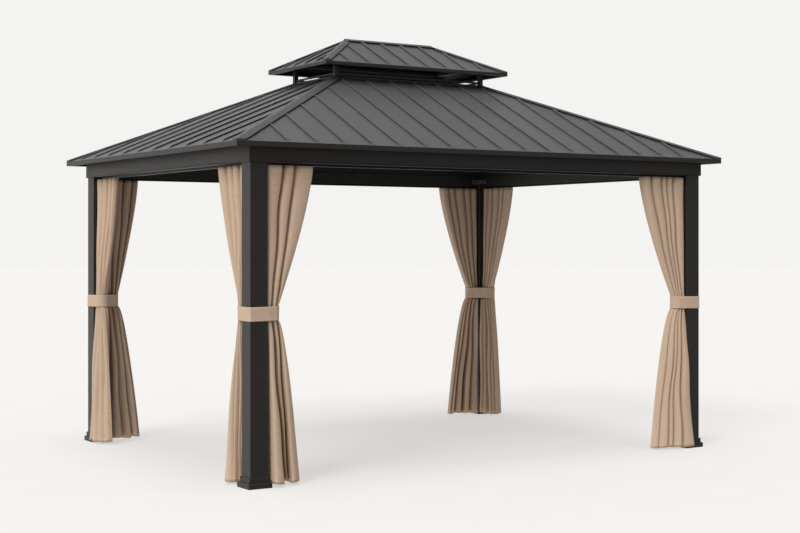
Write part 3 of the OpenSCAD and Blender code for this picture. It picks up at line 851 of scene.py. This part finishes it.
def folded_curtain(corner, kind, sizes):
    """A curtain that hangs from its track in folds, is drawn in by its band, and falls open."""
    name = f"curtain_{kind}_{corner}"
    low, high = node_box(name)
    band_low, band_high = node_box(f"tie_band_{corner}")
    lines = curtain_lines(corner, kind, sizes)
    inward, first_top, first_hem, _, folds = HANGS[(corner, kind)]
    folds = np.array(folds)
    # On the inside, both curtains of a corner close over the post below the band
    closes = inward and first_hem < 0.1
    chance = np.random.default_rng(sum(ord(c) for c in name))
    phases = chance.uniform(0, 2 * math.pi, (4, len(folds)))
    sx, sy = CORNERS[corner]
    keys = {}
    for key, ((width_at, crest_at, valley_at), crest_share, sharp, bulge) in LEVELS.items():
        if kind == "short":
            sharp = 1.5 + sharp * 0.25
        keys[key] = (
            folds[:, width_at],
            folds[:, crest_at] * crest_share,
            folds[:, valley_at],
            sharp,
            bulge,
        )

    def mixed(one, other, share):
        return [a * (1 - share) + b * share for a, b in zip(keys[one], keys[other])]

    rows = []
    # Rows are closer together near the band, where the cloth is drawn in
    upper = np.linspace(0, 1, sizes.rows // 2) ** 0.85
    lower = np.linspace(0, 1, sizes.rows // 2) ** 1.15
    heights = [(high.z - (high.z - band_high.z) * t, "top", t) for t in upper]
    heights += [(band_low.z - (band_low.z - low.z) * t, "hem", t) for t in lower]
    for z, key, t in heights:
        share = t**1.35 if key == "top" else 1 - t**0.62
        widths, crests, valleys, sharp, bulge = mixed(key, "tie", share)
        free = 4 * share * (1 - share)
        sway = np.sin(phases[0] + z * 5.1) * 0.6 + np.sin(phases[1] + z * 11.3) * 0.4
        widths = widths * (1 + 0.16 * free * sway)
        crests = crests + 0.05 * free * (1 + np.sin(phases[2] + z * 7.0))
        start = first_hem if key == "hem" else first_top
        if not (closes and key == "hem"):
            start = start + (0.45 - start) * share
        across, into = fold_profile(folds, widths, crests, valleys, start, sharp, bulge)
        front, back = (
            along_line(lines[key][i], across) * (1 - share)
            + along_line(lines["tie"][i], across) * share
            for i in (0, 1)
        )
        if inward:
            into = 1 - into
        plan = front + (back - front) * into[:, None]
        if closes and key == "hem":
            swing = np.array(lines["hem"][1][0]) - np.array(lines["tie"][1][0])
            plan = plan + swing * ((1 - across) ** 3 * (t**0.14 - t**0.62))[:, None]
        # Small puckers where the band draws the cloth in; they fade over about 90 mm
        reach = abs(z - (band_high.z if key == "top" else band_low.z))
        pucker = 0.0030 * math.exp(-reach / 0.09) * min(1, reach / 0.012)
        run = run_along(plan)
        ahead = np.gradient(plan, axis=0)
        ahead /= np.maximum(np.linalg.norm(ahead, axis=1), 1e-9)[:, None]
        side = np.stack([-ahead[:, 1], ahead[:, 0]], 1)
        ripple = np.sin(run / run[-1] * 2 * math.pi * 4.3 * len(folds) + phases[3][0])
        plan = plan + side * (pucker * ripple)[:, None]
        lift = np.zeros(len(plan))
        if key == "hem":
            # The hem rises a little over the crests of the folds
            lift = t**6 * 0.006 * np.sin(run / run[-1] * 2 * math.pi * 2.2 + phases[3][1])
            lift = np.maximum(lift, -0.004)
        # Beside the post the cloth keeps clear of it; only in front of it may it lap over
        lapped = np.clip((-0.004 - plan[:, 1]) / 0.008, 0, 1)
        clear = sizes.post + sizes.gap
        plan[:, 0] = np.where(
            plan[:, 0] < clear, clear + (plan[:, 0] - clear) * lapped, plan[:, 0]
        )
        if kind == "short":
            plan = plan[:, ::-1]
        x = lines["outer"].x - sx * plan[:, 0]
        y = lines["outer"].y - sy * plan[:, 1]
        rows.append(np.stack([x, y, z + lift], 1))
    grid = np.array(rows)
    lengths = np.linalg.norm(np.diff(grid, axis=1), axis=2).mean(0)
    flat_u = np.concatenate([[0], np.cumsum(lengths)])
    width = float(flat_u[-1])

    def hem_of(u, v, tall):
        return min(u, width - u, v, tall - v) if tall else 0.0

    piece, tall = sheet_from_rows(
        name + "_cloth", rows, flat_u, hem_of, sizes.cloth * 2, 0.5
    )
    settle(piece, name + "_cloth", "woven_polyester")
    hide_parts(name)
    return piece


def rounded_path(corners, radii, step):
    """A line through corners that are rounded, with points about a step apart."""
    corners = [np.array(c, float) for c in corners]
    path = []
    for i, corner in enumerate(corners):
        if i in (0, len(corners) - 1) or radii[i] == 0:
            path.append(corner)
            continue
        back = corners[i - 1] - corner
        ahead = corners[i + 1] - corner
        reach = min(radii[i], 0.45 * np.linalg.norm(back), 0.45 * np.linalg.norm(ahead))
        a = corner + back / np.linalg.norm(back) * reach
        b = corner + ahead / np.linalg.norm(ahead) * reach
        for t in np.linspace(0, 1, 7):
            path.append((1 - t) ** 2 * a + 2 * t * (1 - t) * corner + t * t * b)
    path = np.array(path)
    run = run_along(path)
    at = np.linspace(0, run[-1], int(run[-1] / step) + 1)
    at = np.unique(np.concatenate([at, run]))
    return np.stack([np.interp(at, run, path[:, k]) for k in (0, 1)], 1)


def tie_band(corner, sizes):
    """A band of doubled cloth that holds both curtains of a corner to their post,
    with its end lapped over on the inside."""
    name = f"tie_band_{corner}"
    low, high = node_box(name)
    lines = curtain_lines(corner, "long", sizes)
    sx, sy = CORNERS[corner]
    wall = 0.0023
    far = (high - low).x - 0.0043 - wall
    near = TRACK_IN - sizes.tie_depth / 2 - wall
    deep = TRACK_IN + sizes.tie_depth / 2
    cut = 0.3 * sizes.tie_depth
    half = [
        (sizes.post + wall, -wall),
        (far - cut, near),
        (far - 0.001, near + cut),
        (far, deep - cut),
    ]
    mirrored = [(y, x) for x, y in reversed(half)]
    inner = ((far + deep - cut) / 2,) * 2
    lap = ((far * 0.35 + (deep - cut) * 0.65), (far * 0.65 + (deep - cut) * 0.35))
    corners = (
        [inner]
        + mirrored
        + [(-wall, -wall)]
        + half
        + [inner, (lap[0] - 0.004, lap[1] - 0.004)]
    )
    radii = [0, 0.02, 0.014, 0.014, 0.004, 0.007, 0.004, 0.014, 0.014, 0.02, 0, 0]
    path = rounded_path(corners, radii, 0.006)
    run = run_along(path)
    ahead = np.gradient(path, axis=0)
    ahead /= np.linalg.norm(ahead, axis=1)[:, None]
    side = np.stack([ahead[:, 1], -ahead[:, 0]], 1)
    # The last stretch lies over the first
    ends = np.clip((run - (run[-1] - 0.075)) / 0.03, 0, 1)
    ends = ends * ends * (3 - 2 * ends)
    rows = []
    for t in np.linspace(0, 1, 13):
        z = high.z - (high.z - low.z) * t
        edge = (2 * t - 1) ** 2
        loose = 0.0008 * edge * (1 + np.sin(run * 46 + 3 * t))
        sag = 0.0015 * np.sin(run / run[-1] * 9.0 + 0.6)
        plan = path + side * (0.0033 * ends + loose)[:, None]
        x = lines["outer"].x - sx * plan[:, 0]
        y = lines["outer"].y - sy * plan[:, 1]
        rows.append(np.stack([x, y, np.full(len(run), z) + sag], 1))
    width = float(run[-1])

    def hem_of(u, v, tall):
        return min(u, width - u, v, tall - v) if tall else -0.015

    piece, tall = sheet_from_rows(name + "_cloth", rows, run, hem_of, 0.0034, 0.8)
    settle(piece, name + "_cloth", "woven_polyester_band")
    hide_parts(name)
    return piece


# ---------------------------------------------------------------- fixings


def track_run(corner, kind, sizes):
    """Where a curtain's gliders run: start, end and the underside of the track."""
    lines = curtain_lines(corner, kind, sizes)
    sx, sy = CORNERS[corner]
    near, far = lines["top"][0][0][0], lines["top"][0][-1][0]
    track_low, _ = node_box("curtain_tracks")
    found = []
    for along in (near + 0.012, far - 0.012):
        x, y = (along, TRACK_IN) if kind == "long" else (TRACK_IN, along)
        found.append(
            Vector((lines["outer"].x - sx * x, lines["outer"].y - sy * y, track_low.z))
        )
    return found


def make_gliders(corner, sizes):
    """Two-wheeled nylon gliders in the tracks of a corner, each with an eye for its hook."""
    stem = solid("cube", size=1, location=(0, 0, 0.0040), scale=(0.012, 0.0055, 0.016))
    pick_faces(stem, lambda middle, normal: normal.z > 0.9)
    bpy.ops.mesh.inset(thickness=0.0012)
    bpy.ops.transform.translate(value=(0, 0, 0.0008))
    bpy.ops.object.mode_set(mode="OBJECT")
    wheels = []
    for side in (-1, 1):
        wheel = solid(
            "cylinder",
            vertices=14,
            radius=0.0036,
            depth=0.004,
            location=(0, side * 0.0068, 0.0066),
            rotation=(math.pi / 2, 0, 0),
        )
        pick_faces(wheel, lambda middle, normal: abs(normal.y) > 0.9)
        bpy.ops.mesh.inset(thickness=0.0010)
        bpy.ops.transform.resize(value=(1, 0.9, 1))
        bpy.ops.object.mode_set(mode="OBJECT")
        wheels.append(wheel)
    eye = solid(
        "torus",
        major_radius=0.0036,
        minor_radius=0.0010,
        major_segments=14,
        minor_segments=6,
        location=(0, 0, -0.0065),
        rotation=(math.pi / 2, 0, 0),
    )
    model = joined([stem, *wheels, eye])
    places = []
    for kind in ("long", "short"):
        start, end = track_run(corner, kind, sizes)
        turn = Matrix.Rotation(0 if kind == "long" else math.pi / 2, 4, "Z")
        for i in range(sizes.glider_count):
            spot = start.lerp(end, i / (sizes.glider_count - 1))
            places.append(Matrix.Translation(spot) @ turn)
    gliders = copies(model, places)
    only(gliders)
    bpy.ops.object.shade_smooth_by_angle(angle=math.radians(35))
    return settle(gliders, f"curtain_gliders_{corner}", "moulded_nylon")


def roof_lines():
    """The hip and ridge lines, each with the outward normals of the faces beside it."""
    trim_low, trim_high = node_box("eave_trim")
    vent_low, vent_high = node_box("vent_box")
    upper_low, upper_high = node_box("upper_eave_trim")
    ridge_low, ridge_high = node_box("ridge_cap")
    lip, over = 0.005, 0.020
    lower_top = vent_low.z + 0.060
    vent = Vector((vent_high.x - lip, vent_high.y - lip, lower_top))
    eave = Vector((trim_high.x, trim_high.y, trim_high.z))
    upper = Vector((upper_high.x, upper_high.y, upper_high.z))
    ridge_x = ridge_high.x - over
    run = upper.y
    # The ridge cap stands proud of the ridge by the height of a seam and its sheet
    ridge_z = ridge_high.z - 0.012 * math.hypot(run, 0.214) / run
    found = []
    for base, top, leg in (
        (eave, vent, 0.042),
        (upper, Vector((ridge_x, 0, ridge_z)), 0.032),
    ):
        rise = top.z - base.z
        slope_long = math.atan(rise / (base.y - top.y))
        slope_side = math.atan(rise / (base.x - top.x))
        for sx, sy in CORNERS.values():
            start = Vector((sx * base.x, sy * base.y, base.z))
            end = Vector((sx * top.x, sy * top.y, top.z))
            normals = (
                Vector((0, sy * math.sin(slope_long), math.cos(slope_long))),
                Vector((sx * math.sin(slope_side), 0, math.cos(slope_side))),
            )
            found.append((start, end, normals, leg))
    slope = math.atan((ridge_z - upper.z) / upper.y)
    found.append(
        (
            Vector((-ridge_x, 0, ridge_z)),
            Vector((ridge_x, 0, ridge_z)),
            (
                Vector((0, -math.sin(slope), math.cos(slope))),
                Vector((0, math.sin(slope), math.cos(slope))),
            ),
            0.032,
        )
    )
    return found


def make_rivets(sizes):
    """Rivets along both legs of every cap."""
    places = []
    for start, end, normals, leg in roof_lines():
        line = end - start
        count = max(2, int(line.length / sizes.rivet_pitch))
        other = {0: normals[1], 1: normals[0]}
        for i, normal in enumerate(normals):
            side = normal.cross(line).normalized()
            if side.dot(other[i]) > 0:
                side = -side
            for k in range(count):
                spot = start + line * ((k + 0.55) / (count + 0.1))
                places.append(
                    standing(spot + side * leg * 0.55 + normal * 0.0118, normal, line)
                )
    rivets = copies(rivet_head(sizes.rivet), places)
    only(rivets)
    bpy.ops.object.shade_smooth_by_angle(angle=math.radians(45))
    return settle(rivets, "cap_rivets", "coated_steel_cap")


def make_beam_brackets(sizes):
    """Bent brackets in the steps between the beams and the corner castings, with bolts."""
    brackets, heads = [], []
    step, leg, height = 0.030, 0.060, 0.040
    beam_low, _ = node_box("beam_front")
    mid_z = beam_low.z + 0.042
    for corner, (sx, sy) in CORNERS.items():
        outer = curtain_lines(corner, "long", sizes)["outer"]
        for swap in (False, True):
            # Local axes: along the beam away from the post, and inwards from the beam
            along = Vector((0, -sy, 0)) if swap else Vector((-sx, 0, 0))
            inward = Vector((-sx, 0, 0)) if swap else Vector((0, -sy, 0))
            foot = outer + along * sizes.post + inward * (sizes.post - step)
            foot.z = mid_z
            across = along.cross(inward)
            turn = Matrix((across, along, inward)).transposed().to_4x4()
            brackets.append(Matrix.Translation(foot) @ turn)
            for lift in (-0.011, 0.011):
                spot = foot + along * 0.040 + inward * 0.0028 + Vector((0, 0, lift))
                heads.append(standing(spot, inward))
            heads.append(standing(foot + along * 0.0028 + inward * 0.017, along))
    plate = angle_bracket(height, step - 0.001, leg, 0.003)
    made = copies(plate, brackets)
    settle(made, "beam_brackets", "zinc_plated_steel")
    bolts = copies(bolt_head(sizes.bolt * 0.8), heads)
    return made, settle(bolts, "beam_bracket_bolts", "zinc_plated_steel")


def make_rafter_brackets(sizes):
    """Bent brackets that hold the feet of the common rafters to the tops of the beams."""
    brackets, heads = [], []
    low, high = node_box("common_rafters")
    half, depth, top = 0.015, 0.042, node_box("beam_front")[1].z
    for sx in (-1, 1):
        for sy in (-1, 1):
            for side in (-1, 1):
                middle = Vector((sx * 0.450, sy * (high.y - 0.070), top))
                out = Vector((side, 0, 0))
                brackets.append((middle + out * (half + 0.0002), out))
    for sx in (-1, 1):
        for side in (-1, 1):
            middle = Vector((sx * (high.x - 0.070), 0, top))
            out = Vector((0, side, 0))
            brackets.append((middle + out * (half + 0.0002), out))
    places = []
    up = Vector((0, 0, 1))
    for foot, out in brackets:
        across = out.cross(up)
        turn = Matrix((across, out, up)).transposed().to_4x4()
        places.append(Matrix.Translation(foot) @ turn)
        heads.append(standing(foot + out * 0.024 + up * 0.0028, up))
        heads.append(standing(foot + out * 0.0028 + up * 0.040, out))
    made = copies(angle_bracket(0.040, 0.056, 0.040, 0.003), places)
    settle(made, "rafter_brackets", "zinc_plated_steel")
    bolts = copies(bolt_head(sizes.bolt), heads)
    return made, settle(bolts, "rafter_bracket_bolts", "zinc_plated_steel")


# ------------------------------------------------------------------- stage


def aimed_sun(name, strength, angle, direction, colour):
    """A soft lamp whose light travels in a direction."""
    lamp = bpy.data.lights.new(name, "SUN")
    lamp.energy = strength
    lamp.angle = math.radians(angle)
    lamp.color = colour
    holder = bpy.data.objects.new(name, lamp)
    bpy.context.scene.collection.objects.link(holder)
    holder.rotation_mode = "QUATERNION"
    holder.rotation_quaternion = Vector(direction).to_track_quat("-Z", "Y")
    return holder


def make_floor(colour):
    """A wide pale floor with a faint tooth."""
    floor = solid(
        "circle", vertices=96, radius=90, fill_type="NGON", location=(0, 0, -0.0002)
    )
    floor.name = "studio_floor"
    material, tree, shader, place = start_material("matt_studio_paper")
    inputs = {
        "Base Color": two_tones(tree, noise(tree, place, 3.0), colour, 0.295, 0.305),
        "Roughness": 1.0,
        "Specular IOR Level": 0.0,
        "Emission Color": colour,
        "Emission Strength": 0.612,
    }
    fill(tree, shader, inputs)
    floor.data.materials.append(material)
    floor.visible_diffuse = False
    floor.visible_glossy = False
    return floor


def make_world(colour):
    """A pale surround: bright behind the object, dimmer as light on it."""
    world = bpy.data.worlds.new("studio")
    bpy.context.scene.world = world
    world.use_nodes = True
    tree = world.node_tree
    tree.nodes.clear()
    seen = put(tree, "ShaderNodeBackground", {"Color": colour, "Strength": 1.0})
    # Lit wall behind and to the left, dim room behind the viewer
    way = put(tree, "ShaderNodeTexCoord").outputs["Generated"]
    side = put(
        tree,
        "ShaderNodeVectorMath",
        {0: way, 1: (-0.55, 0.83, 0.0)},
        operation="DOT_PRODUCT",
    )
    ray = put(tree, "ShaderNodeLightPath")
    glow, shine = (
        remap(
            tree,
            side.outputs["Value"],
            low,
            high,
            start=-0.8,
            interpolation_type="SMOOTHSTEP",
        )
        for low, high in ((0.44, 0.82), (0.38, 1.0))
    )
    strength = put(
        tree,
        "ShaderNodeMix",
        {
            "Factor": ray.outputs["Is Glossy Ray"],
            2: glow,
            3: shine,
        },
    )
    lit = put(
        tree,
        "ShaderNodeBackground",
        {"Color": linear("#FFFCF8"), "Strength": strength.outputs[0]},
    )
    both = put(
        tree,
        "ShaderNodeMixShader",
        {0: ray.outputs["Is Camera Ray"], 1: lit.outputs[0], 2: seen.outputs[0]},
    )
    put(tree, "ShaderNodeOutputWorld", {"Surface": both.outputs[0]})


def make_camera():
    """A camera at eye height off the near corner."""
    data = bpy.data.cameras.new("view")
    data.lens = 68.597
    data.sensor_width = 36
    data.sensor_fit = "HORIZONTAL"
    data.shift_y = -0.0287
    data.clip_end = 300
    camera = bpy.data.objects.new("view", data)
    camera.location = (-5.9741, -9.6656, 1.4889)
    camera.rotation_euler = (math.radians(90), 0, math.radians(-32.1536))
    bpy.context.scene.collection.objects.link(camera)
    bpy.context.scene.camera = camera


# --------------------------------------------------------------- operators


class GAZEBO_OT_stage(bpy.types.Operator):
    """Makes the floor, the surround, the lamps and the camera"""

    bl_idname = "gazebo.stage"
    bl_label = "Studio"

    def execute(self, context):
        colours = context.scene.gazebo_colours
        context.scene.view_settings.view_transform = "Standard"
        make_floor(tuple(colours.floor))
        make_world(tuple(colours.floor))
        aimed_sun("key", 1.6, 22, (0.66, 0.40, -0.63), (1.0, 0.975, 0.94))
        aimed_sun("top", 1.4, 28, (0.03, 0.06, -1.0), (0.98, 0.99, 1.0))
        make_camera()
        return {"FINISHED"}


class GAZEBO_OT_finishes(bpy.types.Operator):
    """Gives every node of the frame its finish"""

    bl_idname = "gazebo.finishes"
    bl_label = "Finishes"

    def execute(self, context):
        for name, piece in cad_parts.items():
            if name.startswith(("curtain_long", "curtain_short", "tie_band")):
                continue
            wanted = [f for start, f in NODE_FINISHES if name.startswith(start)]
            if not wanted:
                raise RuntimeError(f"no finish for {name}")
            piece.data.materials.clear()
            piece.data.materials.append(finish(wanted[0]))
        return {"FINISHED"}


class GAZEBO_OT_curtains(bpy.types.Operator):
    """Makes the eight folded curtains"""

    bl_idname = "gazebo.curtains"
    bl_label = "Curtains"

    def execute(self, context):
        for corner in CORNERS:
            for kind in ("long", "short"):
                folded_curtain(corner, kind, context.scene.gazebo_sizes)
        return {"FINISHED"}


class GAZEBO_OT_tie_bands(bpy.types.Operator):
    """Makes the four tie bands"""

    bl_idname = "gazebo.tie_bands"
    bl_label = "Tie bands"

    def execute(self, context):
        for corner in CORNERS:
            tie_band(corner, context.scene.gazebo_sizes)
        return {"FINISHED"}


class GAZEBO_OT_gliders(bpy.types.Operator):
    """Makes the gliders of the curtain tracks"""

    bl_idname = "gazebo.gliders"
    bl_label = "Gliders"

    def execute(self, context):
        for corner in CORNERS:
            make_gliders(corner, context.scene.gazebo_sizes)
        return {"FINISHED"}


class GAZEBO_OT_rivets(bpy.types.Operator):
    """Makes the rivets of the hip and ridge caps"""

    bl_idname = "gazebo.rivets"
    bl_label = "Cap rivets"

    def execute(self, context):
        make_rivets(context.scene.gazebo_sizes)
        return {"FINISHED"}


class GAZEBO_OT_beam_brackets(bpy.types.Operator):
    """Makes the brackets between beams and castings"""

    bl_idname = "gazebo.beam_brackets"
    bl_label = "Beam brackets"

    def execute(self, context):
        make_beam_brackets(context.scene.gazebo_sizes)
        return {"FINISHED"}


class GAZEBO_OT_rafter_brackets(bpy.types.Operator):
    """Makes the brackets at the feet of the rafters"""

    bl_idname = "gazebo.rafter_brackets"
    bl_label = "Rafter brackets"

    def execute(self, context):
        make_rafter_brackets(context.scene.gazebo_sizes)
        return {"FINISHED"}


STEPS = (
    GAZEBO_OT_stage,
    GAZEBO_OT_finishes,
    GAZEBO_OT_curtains,
    GAZEBO_OT_tie_bands,
    GAZEBO_OT_gliders,
    GAZEBO_OT_rivets,
    GAZEBO_OT_beam_brackets,
    GAZEBO_OT_rafter_brackets,
)


class GAZEBO_PT_panel(bpy.types.Panel):
    """Lists the pieces of the gazebo, their sizes and their colours"""

    bl_idname = "GAZEBO_PT_panel"
    bl_label = "Gazebo"
    bl_space_type = "VIEW_3D"
    bl_region_type = "UI"
    bl_category = "Gazebo"

    def draw(self, context):
        for step in STEPS:
            self.layout.operator(step.bl_idname)
        for group in (context.scene.gazebo_sizes, context.scene.gazebo_colours):
            for name in group.__annotations__:
                self.layout.prop(group, name)


CLASSES = (GazeboSizes, GazeboColours, *STEPS, GAZEBO_PT_panel)


def register():
    for kind in CLASSES:
        bpy.utils.register_class(kind)
    bpy.types.Scene.gazebo_sizes = PointerProperty(type=GazeboSizes)
    bpy.types.Scene.gazebo_colours = PointerProperty(type=GazeboColours)


def unregister():
    del bpy.types.Scene.gazebo_colours
    del bpy.types.Scene.gazebo_sizes
    for kind in reversed(CLASSES):
        bpy.utils.unregister_class(kind)


def main():
    """Makes everything in order."""
    register()
    clear_selection()
    bpy.ops.gazebo.stage()
    bpy.ops.gazebo.finishes()
    bpy.ops.gazebo.curtains()
    bpy.ops.gazebo.tie_bands()
    bpy.ops.gazebo.gliders()
    bpy.ops.gazebo.rivets()
    bpy.ops.gazebo.beam_brackets()
    bpy.ops.gazebo.rafter_brackets()


if __name__ == "__main__":
    main()
